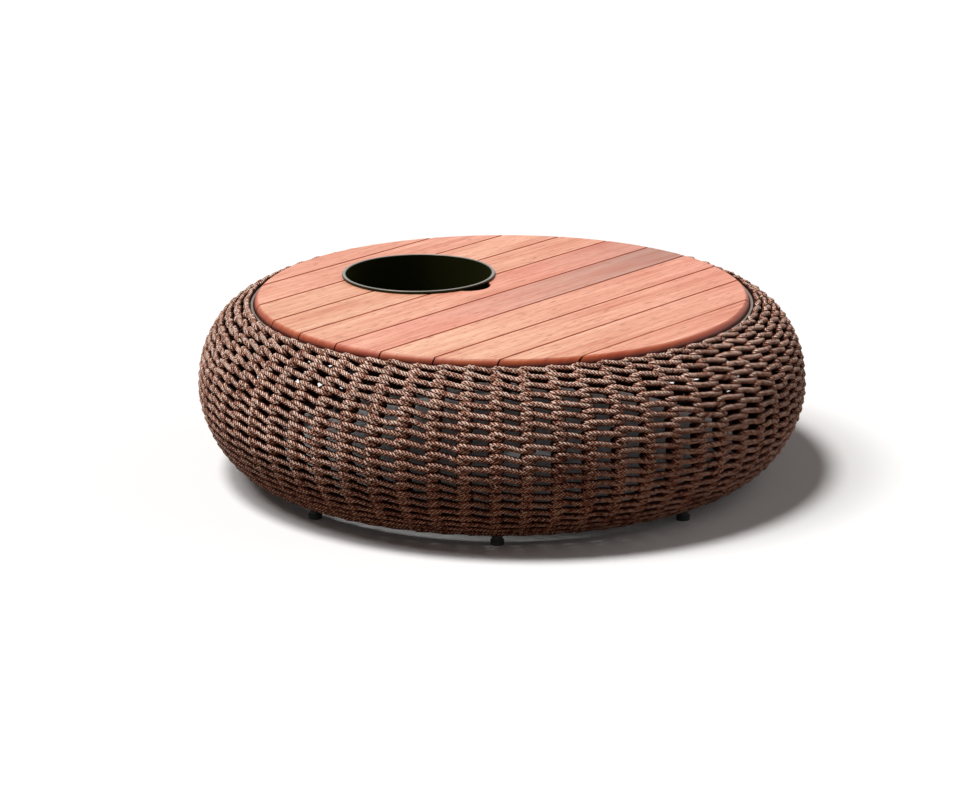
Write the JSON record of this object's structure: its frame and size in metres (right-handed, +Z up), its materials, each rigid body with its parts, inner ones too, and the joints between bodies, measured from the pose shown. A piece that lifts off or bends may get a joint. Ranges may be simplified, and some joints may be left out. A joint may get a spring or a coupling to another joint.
{
  "type": "ice bucket coffee table",
  "caption": "Low round outdoor coffee table: drum body woven in rope on a ribbed steel cage, boarded wood top, and an ice bucket that lifts out of a hole near one edge.",
  "frame": {"origin": "centre of the round body on the floor, under its glides", "axes": "+Z up, the boards run along X, the bucket stands on the +Y side"},
  "size_m": [1, 1, 0.298],
  "materials": {
    "oiled_hardwood": "oiled, fine sanded",
    "painted_steel": "satin powder coat, grey olive",
    "dark_steel": "satin powder coat, near black",
    "braided_rope": "braided polyester, brown flecked with beige",
    "black_enamel": "semi-gloss enamel, black",
    "bright_steel": "polished stainless",
    "zinc_steel": "zinc plated",
    "black_plastic": "moulded, matt"
  },
  "bodies": {
    "table": {"base_ring": "dark_steel", "bearer_left": "painted_steel", "bearer_right": "painted_steel", "board_01": "oiled_hardwood", "board_02": "oiled_hardwood", "board_03_left": "oiled_hardwood", "board_03_right": "oiled_hardwood", "board_04_left": "oiled_hardwood", "board_04_right": "oiled_hardwood", "board_05": "oiled_hardwood", "board_06": "oiled_hardwood", "board_07": "oiled_hardwood", "board_08": "oiled_hardwood", "board_09": "oiled_hardwood", "board_10": "oiled_hardwood", "board_lugs": "painted_steel", "board_screws": "zinc_steel", "brace_inner_left": "painted_steel", "brace_inner_right": "painted_steel", "brace_outer_left": "painted_steel", "brace_outer_right": "painted_steel", "foot_glides": "black_plastic", "legs": "dark_steel", "rail_inner": "painted_steel", "rail_outer": "painted_steel", "ribs_bay_1": "dark_steel", "ribs_bay_2": "dark_steel", "ribs_bay_3": "dark_steel", "ribs_bay_4": "dark_steel", "ribs_bay_5": "dark_steel", "ribs_bay_6": "dark_steel", "ribs_bay_7": "dark_steel", "ribs_bay_8": "dark_steel", "top_ring": "painted_steel", "woven_wall_belly": "braided_rope", "woven_wall_shoulder": "braided_rope", "woven_wall_underside": "braided_rope"},
    "bucket": {"ice_bucket": "black_enamel", "bucket_rim": "bright_steel"}
  },
  "joints": [
    {"name": "bucket_lift", "type": "slide", "parent": "table", "child": "bucket", "axis": [0, 0, 1], "range_m": [0, 0.18]}
  ]
}
